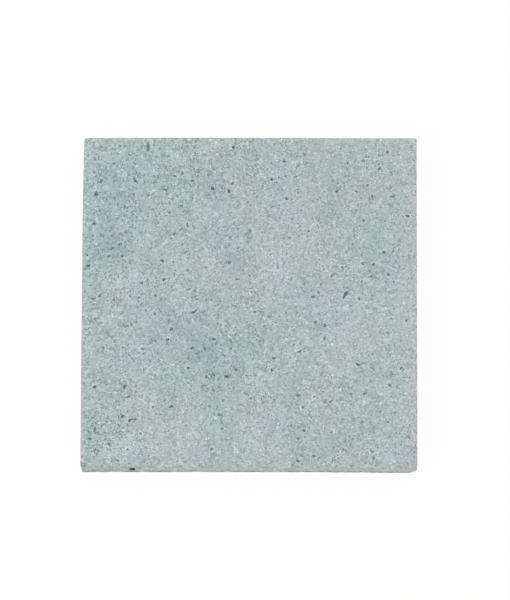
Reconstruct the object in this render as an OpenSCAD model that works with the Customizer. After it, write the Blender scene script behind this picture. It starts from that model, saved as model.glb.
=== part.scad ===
// Natural stone tile: one slab of pale green-grey volcanic stone.
// The slab is sawn to size all round and honed on its upper face. Its arrises
// are lightly eased, and its four corners are rounded by wear.
// Millimetres, +Z up. The origin is the centre of the bed face.

/* [Slab] */
// Length of the tile, along X
tile_length = 200; // [60:1:600]
// Width of the tile, along Y
tile_width = 200; // [60:1:600]
// Thickness of the stone, along Z
thickness = 20; // [8:0.5:60]

/* [Arrises] */
// Rounding of the edge between the honed face and the sides
face_arris_r = 0.5; // [0.2:0.1:3]
// Rounding of the edge between the bed face and the sides
bed_arris_r = 0.5; // [0.2:0.1:3]

/* [Corners] */
// Radius of the four worn corners, in plan
corner_r = 1.2; // [0.5:0.1:12]

/* [Hidden] */
$fn = 64;
stone_grey = [0.67, 0.73, 0.73];

// A corner is never sharper in plan than the arrises that run round it. The
// band along each side that the edge section is drawn for is as wide.
edge_band = max(corner_r, face_arris_r, bed_arris_r);

// The waste that rounding to radius r takes off a square corner. The corner
// is at the origin and points to +X +Y.
module corner_waste(r) {
    difference() {
        translate([-r, -r]) square(2 * r);
        translate([-r, -r]) circle(r);
    }
}

// Section through the slab's edge: the side face is at X = edge_band, the bed
// face along Y = 0, and the stone goes on inwards from X = 0.
module edge_section() {
    difference() {
        square([edge_band, thickness]);
        translate([edge_band, thickness]) corner_waste(face_arris_r);
        translate([edge_band, 0]) mirror([0, 1]) corner_waste(bed_arris_r);
    }
}

// A straight side of the tile that faces +Y, centred on X = 0, with its side
// face at Y = 0.
module side_run(run_length) {
    translate([-run_length / 2, -edge_band, 0])
        rotate([90, 0, 90])
            linear_extrude(run_length) edge_section();
}

// A rounded corner that points to +X +Y, with its centre at the origin.
module corner_post() {
    rotate_extrude(angle = 90) edge_section();
}

// What is left of the slab when the band along its sides is taken off.
inner_length = tile_length - 2 * edge_band;
inner_width = tile_width - 2 * edge_band;

// The corners of that inner part, counter-clockwise from +X +Y.
inner_corners = [for (way = [[1, 1], [-1, 1], [-1, -1], [1, -1]])
    [way.x * inner_length / 2, way.y * inner_width / 2]];

module stone_tile() {
    color(stone_grey) {
        translate([-inner_length / 2, -inner_width / 2, 0])
            cube([inner_length, inner_width, thickness]);

        for (turn = [0, 180]) {
            rotate(turn) translate([0, tile_width / 2, 0]) side_run(inner_length);
            rotate(turn + 90) translate([0, tile_length / 2, 0]) side_run(inner_width);
        }

        for (k = [0:3])
            translate(inner_corners[k]) rotate(90 * k) corner_post();
    }
}

stone_tile();
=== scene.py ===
# %% [markdown]
# # A natural stone tile
# The tile is one slab of pale green-grey volcanic stone, sawn to size all round and honed on its
# upper face. It has no parts to put together, so the whole lesson is about one surface: how it is
# cut, where it is pitted and knocked, and what the stone is made of.
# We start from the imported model, which is the plain slab at its real size. Everything that follows
# takes its sizes from that slab and stays inside it.

# %% The frame
import math

import bpy
import numpy as np
from mathutils import Matrix, Vector


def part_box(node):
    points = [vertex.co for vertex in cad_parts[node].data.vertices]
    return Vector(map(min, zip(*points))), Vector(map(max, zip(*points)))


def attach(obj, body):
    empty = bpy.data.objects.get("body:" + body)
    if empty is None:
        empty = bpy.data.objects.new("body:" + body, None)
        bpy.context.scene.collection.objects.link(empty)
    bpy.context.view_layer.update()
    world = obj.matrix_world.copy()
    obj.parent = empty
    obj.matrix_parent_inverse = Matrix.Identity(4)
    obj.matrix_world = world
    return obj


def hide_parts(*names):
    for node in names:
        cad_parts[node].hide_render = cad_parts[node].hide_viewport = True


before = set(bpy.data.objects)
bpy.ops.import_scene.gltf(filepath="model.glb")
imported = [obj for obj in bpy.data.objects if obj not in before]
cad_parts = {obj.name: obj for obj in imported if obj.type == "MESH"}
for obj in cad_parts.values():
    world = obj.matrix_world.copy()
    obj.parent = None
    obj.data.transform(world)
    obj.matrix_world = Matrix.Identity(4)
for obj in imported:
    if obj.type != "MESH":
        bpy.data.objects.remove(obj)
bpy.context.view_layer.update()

MM = 0.001
low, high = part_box("stone_tile")
LENGTH = (high.x - low.x) / MM
WIDTH = (high.y - low.y) / MM
THICKNESS = (high.z - low.z) / MM
print(f"slab: {LENGTH:.1f} x {WIDTH:.1f} x {THICKNESS:.1f} mm")

# %% [markdown]
# ## The camera
# Stone samples are shot from almost straight above with a long lens, so that the sides run nearly
# parallel and just a sliver of the front side shows. A lens this long needs the camera far away:
# here it stands more than twelve tile lengths off, ten degrees from upright.
# We turn the camera by hand with a rotation matrix and not with a Track To constraint, because the
# small roll of a hand-held camera is then just one more angle.

# %% The camera
VIEW_DISTANCE = 12.65 * LENGTH * MM
VIEW_TILT = math.radians(10.0)
VIEW_ROLL = math.radians(0.15)
LENS_MM = 254.85
SENSOR_MM = 36.0
aim = Vector((3.26, 1.06, THICKNESS)) * MM


def make_camera():
    """A camera that looks at the aim point from the front, tilted back from straight above."""
    lens = bpy.data.cameras.new("camera")
    lens.sensor_fit = "VERTICAL"
    lens.sensor_height = SENSOR_MM
    lens.lens = LENS_MM
    lens.clip_end = 50.0
    camera = bpy.data.objects.new("camera", lens)
    turn = Matrix.Rotation(VIEW_TILT, 4, "X") @ Matrix.Rotation(VIEW_ROLL, 4, "Z")
    back = turn @ Vector((0.0, 0.0, VIEW_DISTANCE))
    camera.matrix_world = Matrix.Translation(aim + back) @ turn
    bpy.context.scene.collection.objects.link(camera)
    bpy.context.scene.camera = camera
    return camera


camera = make_camera()
print("camera at", [round(c, 3) for c in camera.matrix_world.translation])

# %% [markdown]
# ## Nodes with fewer words
# Every material below is a small network of nodes. This helper places one node, sets its options
# and fills its sockets in one call: a plain value is typed into the socket, and another node's
# output is linked to it. The others are short ways to ask it for the nodes that come up most.

# %% Helpers for nodes
def place(tree, kind, sockets=None, **options):
    """Adds a node of that kind, sets its options, and fills its sockets with values or links."""
    node = tree.nodes.new(kind)
    for name, value in options.items():
        setattr(node, name, value)
    for name, value in (sockets or {}).items():
        if isinstance(value, bpy.types.NodeSocket):
            tree.links.new(value, node.inputs[name])
        else:
            node.inputs[name].default_value = value
    return node


def math_node(tree, operation, *values):
    """One Math node. Its sockets share a name, so they are filled by number."""
    return place(tree, "ShaderNodeMath", dict(enumerate(values)), operation=operation).outputs[0]


def scaled(tree, value, amount, add=0.0):
    """value x amount + add"""
    return math_node(tree, "MULTIPLY_ADD", value, amount, add)


def vector_node(tree, operation, first, second):
    """One Vector Math node. SCALE takes a number as its second value."""
    socket = "Scale" if operation == "SCALE" else 1
    return place(tree, "ShaderNodeVectorMath", {0: first, socket: second}, operation=operation).outputs[0]


def ramp(tree, value, zero, one, shape="LINEAR"):
    """0 where the value is at zero or past it, 1 where it is at one or past it."""
    return place(tree, "ShaderNodeMapRange", {"Value": value, "From Min": zero, "From Max": one},
                 interpolation_type=shape).outputs[0]


def noise(tree, position, scale, detail=1.0, roughness=0.5):
    """A noise texture's outputs: Fac is grey, Color has three noises in one."""
    return place(tree, "ShaderNodeTexNoise", {"Vector": position, "Scale": scale, "Detail": detail,
                                              "Roughness": roughness}).outputs


def mixed(tree, amount, first, second, blend="MIX"):
    """Mixes two colours by an amount."""
    return place(tree, "ShaderNodeMix", {0: amount, 6: first, 7: second},
                 data_type="RGBA", blend_type=blend).outputs[2]


def new_group(name, inputs, outputs):
    """A shader node group with named sockets. An input's default says its kind: a number, a colour,
    or None for a vector. Outputs are numbers, but for Color. Returns the tree and its inputs."""
    tree = bpy.data.node_groups.new(name, "ShaderNodeTree")
    for label, value in inputs.items():
        kind = "Vector" if value is None else "Float" if isinstance(value, float) else "Color"
        socket = tree.interface.new_socket(label, in_out="INPUT", socket_type="NodeSocket" + kind)
        if value is not None:
            socket.default_value = value
    for label in outputs:
        kind = "Color" if label == "Color" else "Float"
        tree.interface.new_socket(label, in_out="OUTPUT", socket_type="NodeSocket" + kind)
    return tree, tree.nodes.new("NodeGroupInput").outputs


def give_out(tree, values):
    """Links a group's results to its output node, and returns the group."""
    place(tree, "NodeGroupOutput", values)
    print("group:", tree.name, "with", len(tree.nodes), "nodes")
    return tree


def use_group(tree, group, sockets):
    """Places a finished group in another tree, and returns its outputs."""
    return place(tree, "ShaderNodeGroup", sockets, node_tree=group).outputs


# %% [markdown]
# ## Light, floor and backdrop
# Honed stone is judged under plain, even light. A bright sky all round gives most of it, and one
# large lamp from the upper left gives the pits and the worn edges a side to be bright on.
# The two together light a level face so that a colour renders about as it is written.
# The white background is not more light: only rays that show the backdrop itself find the sky white,
# and for them alone the floor glows. The glow is a share, which leaves the soft shadow under the
# slab's edge.

# %% The studio
SKY_STRENGTH = 0.80
KEY_POWER = 9.0
KEY_SIZE = 1.2
KEY_STAND = Vector((-1.1, -0.7, 1.7))
FLOOR_HALF = 6.0
FLOOR_GAP = 0.0001
FLOOR_PAINT = (0.90, 0.90, 0.90, 1.0)
FLOOR_GLOW = 0.94
WHITE = (1.0, 1.0, 1.0, 1.0)


def seen_directly(tree):
    """1 for rays that show the backdrop itself: from the camera, in a mirror or through glass."""
    path = tree.nodes.new("ShaderNodeLightPath").outputs
    mirrored = math_node(tree, "MAXIMUM", path["Is Camera Ray"], path["Is Glossy Ray"])
    return math_node(tree, "MAXIMUM", mirrored, path["Is Transmission Ray"])


def make_sky():
    """A white world: dimmer as a light than as a backdrop."""
    world = bpy.data.worlds.new("studio_sky")
    world.use_nodes = True
    tree = world.node_tree
    tree.nodes.clear()
    light = place(tree, "ShaderNodeBackground", {"Color": WHITE, "Strength": SKY_STRENGTH})
    white = place(tree, "ShaderNodeBackground", {"Color": WHITE, "Strength": 1.0})
    mix = place(tree, "ShaderNodeMixShader", {0: seen_directly(tree), 1: light.outputs[0],
                                              2: white.outputs[0]})
    place(tree, "ShaderNodeOutputWorld", {"Surface": mix.outputs[0]})
    bpy.context.scene.world = world


def make_key_lamp():
    """A round lamp on its stand, turned towards the middle of the bed."""
    lamp = bpy.data.lights.new("key_lamp", "AREA")
    lamp.shape = "DISK"
    lamp.size = KEY_SIZE
    lamp.energy = KEY_POWER
    key = bpy.data.objects.new("key_lamp", lamp)
    turn = KEY_STAND.to_track_quat("Z", "Y").to_matrix().to_4x4()
    key.matrix_world = Matrix.Translation(KEY_STAND) @ turn
    bpy.context.scene.collection.objects.link(key)


def make_floor():
    """A pale square just under the slab, with a paint that glows where the backdrop is seen."""
    square = ((-1, -1), (1, -1), (1, 1), (-1, 1))
    corners = [(x * FLOOR_HALF, y * FLOOR_HALF, -FLOOR_GAP) for x, y in square]
    mesh = bpy.data.meshes.new("floor")
    mesh.from_pydata(corners, [], [(0, 1, 2, 3)])
    material = bpy.data.materials.new("pale_floor")
    material.use_nodes = True
    tree = material.node_tree
    tree.nodes.clear()
    paint = place(tree, "ShaderNodeBsdfDiffuse", {"Color": FLOOR_PAINT})
    glow = place(tree, "ShaderNodeEmission", {"Color": WHITE, "Strength": 1.0})
    share = scaled(tree, seen_directly(tree), FLOOR_GLOW)
    mix = place(tree, "ShaderNodeMixShader", {0: share, 1: paint.outputs[0], 2: glow.outputs[0]})
    place(tree, "ShaderNodeOutputMaterial", {"Surface": mix.outputs[0]})
    mesh.materials.append(material)
    floor = bpy.data.objects.new("floor", mesh)
    bpy.context.scene.collection.objects.link(floor)


make_sky()
make_key_lamp()
make_floor()
bpy.context.scene.view_settings.view_transform = "Standard"

# %% [markdown]
# ## Random numbers that stay put
# Wear is random, but it has to be the same wear each time the script runs, and it has to be smooth:
# a knocked edge is knocked over a few millimetres, not at one vertex. So each kind of wear reads a
# lattice of random numbers with a cell of its own size.

# %% Smooth noise
LATTICE = 96


def smooth_noise(points, cell, seed):
    """Smooth random values from -1 to 1. Each corner of a lattice of cubes has a random number, and a
    point takes the eight numbers round it, mixed along each axis by the smooth step 3t^2 - 2t^3."""
    table = np.random.default_rng(seed).uniform(-1.0, 1.0, (LATTICE, LATTICE, LATTICE))
    where = np.asarray(points) / cell
    corner = np.floor(where).astype(int)
    t = where - corner
    t = t * t * (3.0 - 2.0 * t)
    total = np.zeros(len(where))
    for dx, dy, dz in np.ndindex(2, 2, 2):
        weight = (np.where(dx, t[:, 0], 1 - t[:, 0]) * np.where(dy, t[:, 1], 1 - t[:, 1])
                  * np.where(dz, t[:, 2], 1 - t[:, 2]))
        i, j, k = ((corner + (dx, dy, dz)) % LATTICE).T
        total += weight * table[i, j, k]
    return total


# %% [markdown]
# ## The honed face
# The upper face is the one that was ground flat. We lay a square grid over it, and round off the
# grid's four corners, so that its rim already runs where the worn corners of the slab run.
# The grid stops a little short of the sides: the strip outside it belongs to the arris, which is the
# mason's word for the edge where two faces meet. Edges chip, so the cells next to the rim are narrow
# ones: a chip needs vertices to be cut from.

# %% The grid of the honed face
CELLS = 256
EDGE_CELLS = (0.22, 0.34, 0.50, 0.66)
RIM_INSET = 0.7
CORNER_R = 1.2
CORNER_BLOCK = 6.0


def graded_steps(half):
    """Places from -half to half for the lines of a grid: even cells, but for the narrow ones at both
    ends, which are the same ones in mirror image."""
    edge = np.concatenate([[0.0], np.cumsum(EDGE_CELLS)])
    even = np.linspace(-half + edge[-1], half - edge[-1], CELLS - 2 * len(EDGE_CELLS) + 1)
    return np.concatenate([edge[:-1] - half, even, half - edge[-2::-1]])


def round_off(x, y, half_x, half_y, radius):
    """Rounds the corners of a square grid. In each corner block a point keeps its direction from the
    block's inner corner, and its distance shrinks by the ratio of the arc's distance in that
    direction to the square's."""
    a = np.abs(x) - (half_x - CORNER_BLOCK)
    b = np.abs(y) - (half_y - CORNER_BLOCK)
    in_block = (a > 0) & (b > 0)
    away = np.where(in_block, np.hypot(a, b), 1.0)
    cos, sin = a / away, b / away
    to_square = CORNER_BLOCK / np.maximum(np.maximum(cos, sin), 1e-9)
    centre = CORNER_BLOCK - radius
    along = (cos + sin) * centre
    to_arc = along + np.sqrt(np.maximum(along ** 2 - 2 * centre ** 2 + radius ** 2, 0.0))
    meets_arc = in_block & (to_square * np.minimum(cos, sin) > centre)
    shrink = np.where(meets_arc, to_arc / to_square, 1.0)
    new_x = np.where(meets_arc, np.sign(x) * (half_x - CORNER_BLOCK + a * shrink), x)
    new_y = np.where(meets_arc, np.sign(y) * (half_y - CORNER_BLOCK + b * shrink), y)
    return new_x, new_y


def plan_normal(xy):
    """The direction out of the slab, seen from above: away from the nearest point of the rectangle
    that is left when each side moves in by the corner radius."""
    inner = np.array([LENGTH / 2, WIDTH / 2]) - CORNER_R
    out = xy - np.clip(xy, -inner, inner)
    return out / np.maximum(np.linalg.norm(out, axis=1, keepdims=True), 1e-9)


half_x = LENGTH / 2 - RIM_INSET
half_y = WIDTH / 2 - RIM_INSET
lines_x = graded_steps(half_x)
lines_y = graded_steps(half_y)
grid_y, grid_x = np.meshgrid(lines_y, lines_x, indexing="ij")
face_x, face_y = round_off(grid_x, grid_y, half_x, half_y, CORNER_R - RIM_INSET)
face_points = np.stack([face_x, face_y, np.full_like(face_x, THICKNESS)], axis=-1)
print(f"honed face: {CELLS} x {CELLS} cells of {np.diff(lines_x).max():.2f} mm, narrower at the rim")

# %% [markdown]
# ## The sides
# A side is a profile carried along a path. The path is the rim of the honed face, all the way round.
# The profile goes out over the upper arris, down the sawn face and in over the lower arris.
# Because the path's direction turns smoothly round each corner, the corners need nothing special.

# %% The profile and the path
ARRIS_R = 0.6
ARRIS_STEPS = 4
SIDE_STEPS = 18


def side_profile():
    """Points (how far out from the rim, height): a quarter circle, a straight drop, a quarter circle."""
    turn = np.linspace(0.0, np.pi / 2, ARRIS_STEPS + 1)
    out = RIM_INSET - ARRIS_R + ARRIS_R * np.sin(turn)
    drop = ARRIS_R - ARRIS_R * np.cos(turn)
    straight = np.linspace(THICKNESS - ARRIS_R, ARRIS_R, SIDE_STEPS + 1)[1:-1]
    upper = np.stack([out, THICKNESS - drop], axis=1)
    side = np.stack([np.full_like(straight, RIM_INSET), straight], axis=1)
    lower = np.stack([out, drop], axis=1)[::-1]
    return np.concatenate([upper, side, lower])


def rim_of(numbers):
    """The vertices on the rim of a grid, once round: along its first row, up its last column, back
    along its last row and down its first column."""
    return np.concatenate([numbers[0, :-1], numbers[:-1, -1], numbers[-1, :0:-1], numbers[:0:-1, 0]])


face_numbers = np.arange((CELLS + 1) ** 2).reshape(CELLS + 1, CELLS + 1)
rim = rim_of(face_numbers)
profile = side_profile()
ROWS, COLUMNS = len(profile), len(rim)
rim_xy = face_points.reshape(-1, 3)[rim, :2]
rim_out = plan_normal(rim_xy)
side_xy = rim_xy[None] + rim_out[None] * profile[:, :1, None]
side_z = np.broadcast_to(profile[:, 1, None, None], (ROWS, COLUMNS, 1))
side_points = np.concatenate([side_xy, side_z], axis=2)
print(f"sides: {COLUMNS} columns x {ROWS} rows")

# %% [markdown]
# ## The bed
# The bed is the face that goes down into the mortar. Nobody sees it once the tile is laid, so it gets
# a coarse grid. A ring of narrow triangles joins the fine edge to it, nine to each coarse cell.

# %% The grid of the bed
FINE_PER_COARSE = 8
BED_CELLS = CELLS // FINE_PER_COARSE
BED_INSET = 4.0
BED_COUNT = (BED_CELLS + 1) ** 2
bed_steps = np.linspace(-1.0, 1.0, BED_CELLS + 1)
bed_y, bed_x = np.meshgrid(bed_steps * (WIDTH / 2 - BED_INSET), bed_steps * (LENGTH / 2 - BED_INSET),
                           indexing="ij")
bed_points = np.stack([bed_x, bed_y, np.zeros_like(bed_x)], axis=-1)

# %% [markdown]
# ## Pores
# The stone has open pores: gas bubbles and lost grains that the saw and the hone have cut open.
# A pore could be a Boolean cut, but a thousand of them would wreck the mesh. Here each pore gathers
# the grid instead: the vertex nearest to it becomes its bottom, the rings of vertices round that
# become its wall, and the last of them is its rim, which is pulled in to an uneven ellipse. The grid
# keeps its vertices and gets sharp, deep pits.
# The pores that stand out are listed, on the honed face and on the front side, where one is
# a real hole. Those of the honed face come out a little longer and wider than the tables say.

# %% Listed pores
DEEP_PORES = [
    # x, y, half length, half width, lean of the long axis in degrees
    (57.3, 4.6, 2.4, 0.8, 65), (38.0, 3.2, 1.1, 0.6, 5), (-61.3, 94.0, 3.1, 0.45, 92),
    (-68.9, 74.2, 2.3, 0.38, -62), (-74.8, -69.2, 1.2, 0.6, 0), (-70.6, -71.5, 1.3, 0.7, 10),
    (-67.2, -71.0, 0.8, 0.6, 0), (-36.3, -40.0, 1.0, 0.7, 110), (-21.0, -22.7, 1.1, 0.6, 0),
    (64.7, -37.8, 1.2, 0.7, 150), (-33.0, -6.2, 1.4, 0.5, 30), (30.0, -29.9, 1.2, 0.5, 30),
    (-13.2, -45.2, 1.1, 0.7, 0), (-12.5, 67.3, 1.0, 0.7, 95), (-22.3, 69.0, 1.1, 0.9, 0),
    (94.5, 52.3, 1.0, 0.7, 0), (-92.0, 65.5, 1.4, 0.8, 10), (-34.5, 73.5, 0.9, 0.7, 90),
    (80.3, 30.3, 1.0, 0.6, 80), (20.5, 85.5, 0.8, 0.7, 0), (-10.0, 94.0, 0.9, 0.7, 0),
    (22.0, 62.7, 0.9, 0.6, 0), (13.0, 74.6, 1.0, 0.5, 90), (-40.5, 78.3, 1.3, 0.5, 85),
    (-45.0, 41.2, 0.9, 0.5, 90), (-77.2, 34.8, 1.2, 0.5, 0), (-96.9, 28.0, 0.8, 0.5, 90),
    (-96.0, 21.7, 0.9, 0.8, 0), (-52.0, 24.8, 1.0, 0.8, 0), (-51.0, 13.4, 1.1, 0.5, 20),
    (83.3, -50.0, 1.0, 0.5, 0), (90.4, -39.8, 0.9, 0.5, 0), (-46.3, -63.3, 1.2, 0.7, 0),
    (-91.5, -77.2, 1.0, 0.8, 90), (-91.0, -88.8, 0.8, 0.6, 0), (-91.7, -51.5, 0.8, 0.7, 0),
]
SHALLOW_PORES = [
    (-10.3, 72.0, 0.9, 0.6, 60), (85.5, 64.3, 1.9, 0.5, 5), (-93.0, 47.5, 1.0, 0.8, 60),
    (-89.0, 73.5, 1.2, 0.7, 40), (-40.8, 58.3, 0.9, 0.8, 0), (-50.0, 68.0, 0.9, 0.6, 0),
    (52.3, 67.3, 0.9, 0.6, 0), (70.6, 71.0, 0.9, 0.7, 100), (68.0, 86.0, 0.9, 0.8, 0),
    (77.5, 81.0, 0.9, 0.6, 0), (82.5, 91.5, 1.0, 0.6, 90), (49.8, 73.8, 0.9, 0.5, 90),
    (73.2, 64.3, 0.7, 0.7, 0), (-3.9, 75.8, 0.8, 0.5, 25), (-1.9, 78.3, 0.8, 0.4, 65),
    (-7.8, 78.2, 0.8, 0.6, 0), (0.5, 43.0, 0.9, 0.6, 90), (-37.7, 70.0, 0.8, 0.5, 10),
    (-73.0, 54.8, 0.8, 0.6, 0), (-48.0, 53.9, 0.7, 0.6, 0), (-37.3, 46.6, 1.1, 0.5, 110),
    (-82.0, 32.4, 1.2, 0.5, 30), (-84.0, 27.5, 1.2, 0.5, 20), (-76.0, 27.7, 0.9, 0.7, 0),
    (-36.8, 19.0, 0.8, 0.7, 90), (-55.3, 12.6, 0.7, 0.6, 0), (-64.0, 11.2, 0.9, 0.7, 0),
    (-60.7, 13.5, 0.8, 0.6, 80), (-32.3, 6.9, 0.9, 0.6, 0), (-37.2, 7.1, 1.3, 0.45, 10),
    (-89.3, 3.3, 1.2, 0.6, 20), (-93.0, 1.6, 1.1, 0.6, 0), (-66.0, 2.3, 0.9, 0.6, 0),
    (-56.0, 3.6, 0.9, 0.6, 0), (-70.3, -14.0, 0.9, 0.6, 0), (-48.6, -23.0, 0.9, 0.6, 0),
    (-63.5, -28.7, 1.0, 0.6, 0), (-87.0, -28.0, 1.0, 0.6, 120), (-34.0, -28.0, 1.1, 0.7, 90),
    (-26.3, -29.0, 1.0, 0.6, 90), (-12.0, 23.7, 1.0, 0.6, 120), (-26.2, 20.7, 0.8, 0.5, 0),
    (-7.3, 13.6, 1.2, 0.45, 0), (1.3, 8.2, 0.8, 0.5, 0), (16.8, 21.5, 1.6, 0.4, 95),
    (15.5, 4.5, 0.8, 0.6, 0), (42.7, 10.8, 0.9, 0.5, 90), (55.6, 20.8, 1.2, 0.5, 130),
    (67.7, 23.5, 0.8, 0.7, 0), (74.0, 22.8, 0.9, 0.8, 0), (72.6, 15.5, 0.8, 0.7, 0),
    (82.8, 16.7, 1.1, 0.6, 0), (65.5, 2.2, 0.7, 0.7, 0), (52.3, -5.8, 0.9, 0.5, 20),
    (45.0, -14.0, 1.0, 0.8, 0), (39.5, -12.2, 1.4, 0.5, 60), (82.3, -18.6, 1.3, 0.45, 0),
    (92.6, -28.8, 0.7, 0.6, 0), (90.0, -26.9, 0.7, 0.6, 0), (93.7, -11.0, 0.9, 0.5, 0),
    (84.8, -42.7, 0.9, 0.7, 0), (69.0, -55.2, 1.0, 0.5, 20), (48.4, -60.1, 1.2, 0.5, 30),
    (60.5, -55.5, 0.9, 0.6, 90), (73.0, -89.7, 1.1, 0.6, 0), (73.9, -93.4, 0.9, 0.5, 120),
    (92.2, -79.3, 0.7, 0.6, 0), (89.5, -78.9, 0.7, 0.6, 0), (56.0, -88.8, 0.9, 0.7, 0),
    (38.6, -92.8, 1.1, 0.5, 140), (61.4, -82.5, 0.8, 0.6, 130), (64.5, -82.2, 0.8, 0.5, 40),
    (29.0, -56.5, 1.4, 0.6, 15), (32.0, -63.5, 0.9, 0.7, 90), (29.3, -82.3, 0.9, 0.8, 90),
    (29.0, -95.8, 0.9, 0.8, 0), (32.5, -77.5, 0.9, 0.6, 90), (14.5, -34.0, 0.9, 0.7, 0),
    (13.5, -41.0, 0.8, 0.7, 0), (10.5, -39.3, 0.8, 0.5, 0), (-8.0, -41.0, 0.9, 0.6, 0),
    (-21.2, -53.4, 1.0, 0.7, 0), (-21.6, -44.0, 1.0, 0.6, 0), (-25.5, -45.5, 0.9, 0.6, 90),
    (-15.5, -59.5, 1.0, 0.5, 0), (-17.5, -68.3, 1.4, 0.5, 0), (-16.0, -76.5, 1.0, 0.5, 0),
    (-22.0, -88.9, 1.0, 0.5, 0), (-57.0, -63.7, 0.9, 0.6, 0), (-71.5, -57.5, 1.2, 0.5, 60),
    (-74.0, -51.7, 1.0, 0.7, 90), (-64.3, -79.5, 1.0, 0.5, 110), (-83.0, -86.0, 0.9, 0.7, 90),
    (-94.3, -82.7, 0.9, 0.7, 0), (-54.0, -86.0, 0.8, 0.5, 90), (-78.0, -95.6, 0.9, 0.5, 0),
]
SIDE_PITS = [
    # along the front side from its middle, height, half length, half width, lean, depth factor
    (-69.4, 13.5, 4.76, 2.0, 97, 3.90), (-93.2, 7.6, 1.7, 1.2, 70, 1.50), (-79.6, 6.4, 1.6, 1.0, 20, 1.50),
    (-87.8, 4.4, 1.0, 0.8, 0, 1.30), (-33.2, 7.2, 1.9, 1.1, 100, 1.50), (-25.2, 5.6, 1.2, 0.9, 0, 1.30),
    (13.5, 13.6, 1.9, 1.2, 75, 1.60), (18.4, 4.8, 1.4, 0.9, 10, 1.50), (-2.8, 4.9, 1.3, 0.9, 40, 1.50),
    (38.0, 13.2, 1.5, 1.0, 120, 1.30), (73.5, 13.4, 1.7, 1.0, 60, 1.30), (2.2, 10.2, 1.3, 0.8, 90, 1.20),
    (59.5, 9.0, 1.3, 0.9, 150, 1.10), (86.0, 7.0, 1.2, 1.0, 0, 1.20), (-52.0, 14.0, 1.2, 0.8, 30, 1.20),
]
DEEP, SHALLOW = 1.45, 1.08
LONGER, WIDER = 1.16, 0.35


def with_depth(pores, factor):
    """The same pores with one more number, the depth factor: how deep they are for their width."""
    return np.c_[np.array(pores), np.full(len(pores), factor)]


placed = np.concatenate([with_depth(DEEP_PORES, DEEP), with_depth(SHALLOW_PORES, SHALLOW)])
placed = placed * (1, 1, LONGER, 1, 1, 1) + (0, 0, 0, WIDER, 0, 0)
print(f"placed by hand: {len(placed)} pores in the honed face, {len(SIDE_PITS)} in the front side")

# %% [markdown]
# The rest of the pores are scattered at random. Like the dark grains, they lie thicker in some parts
# of the stone than in others, and most of all round a pore that stands out.

# %% Crowds and random pores
FACE_TRIES, SIDE_TRIES, LARGE_TRIES = 2200, 1100, 48
USUAL_PORE, LEAST_PORE, LARGEST_PORE = 0.42, 0.28, 1.10
SPECK_CROWDS = [
    # x, y, half length along x, half length along y, how much thicker the specks lie there
    (-46, 84, 60, 30, 1.10), (-90, -82, 26, 28, 0.95), (-88, 15, 26, 40, 0.75),
    (-16, -28, 34, 26, 0.60), (85, 45, 22, 50, 0.08), (28, -80, 12, 22, 0.10),
    (80, -60, 34, 45, -0.20), (-20, -78, 22, 20, -0.50), (78, -22, 30, 22, -0.22),
]
PLAIN_CROWD = 0.62
PORE_CROWD, PORE_CROWD_REACH = 0.55, 3.5
KEPT, KEPT_PATCHY, PATCH_SIZE = 0.50, 0.25, 14.0
STRETCHES, DEPTH_FACTORS = (1.0, 1.6), (0.4, 1.3)


def speck_crowd(x, y):
    """How thick pores and dark grains lie: the value of a plain stretch of the stone, plus a soft
    hill exp(-d^2) for each crowd, and a narrow one round each pore of the two lists."""
    crowd = np.full(len(x), PLAIN_CROWD)
    for centre_x, centre_y, half_long, half_wide, gain in SPECK_CROWDS:
        crowd += gain * np.exp(-((x - centre_x) / half_long) ** 2 - ((y - centre_y) / half_wide) ** 2)
    for centre_x, centre_y, *_ in DEEP_PORES + SHALLOW_PORES:
        crowd += PORE_CROWD * np.exp(-((x - centre_x) ** 2 + (y - centre_y) ** 2) / PORE_CROWD_REACH ** 2)
    return crowd


def scatter(tries, span_x, span_y, spread, seed):
    """Random small pores: centre, half length, half width, lean and depth factor. The half widths
    follow a lognormal law: many small ones and a few large, more so with more spread."""
    rng = np.random.default_rng(seed)
    x = rng.uniform(-span_x, span_x, tries)
    y = rng.uniform(-span_y, span_y, tries)
    size = np.clip(rng.lognormal(np.log(USUAL_PORE), spread, tries), LEAST_PORE, LARGEST_PORE)
    stretch = rng.uniform(*STRETCHES, tries)
    lean = rng.uniform(0, 180, tries)
    return np.stack([x, y, size * stretch, size, lean, rng.uniform(*DEPTH_FACTORS, tries)], axis=1)


random_pores = scatter(FACE_TRIES, half_x, half_y, spread=0.36, seed=11)
chance = KEPT * speck_crowd(random_pores[:, 0], random_pores[:, 1])
chance += KEPT_PATCHY * smooth_noise(np.c_[random_pores[:, :2], np.zeros(FACE_TRIES)], PATCH_SIZE, seed=5)
random_pores = random_pores[np.random.default_rng(3).uniform(0, 1, FACE_TRIES) < chance]
print(f"random pores for the honed face: {len(random_pores)} of {FACE_TRIES} tries")

# %% [markdown]
# Two pores cannot both have the same vertex, so each takes a square of vertices, and a pore whose
# square is taken is left out. The listed ones come first. A long pore needs more rings than
# a short one, and how many it needs depends on the size of the grid's cells.

# %% Keeping pores apart
RING_ROOM = 1.2
RING_SLACK = 0.45


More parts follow.
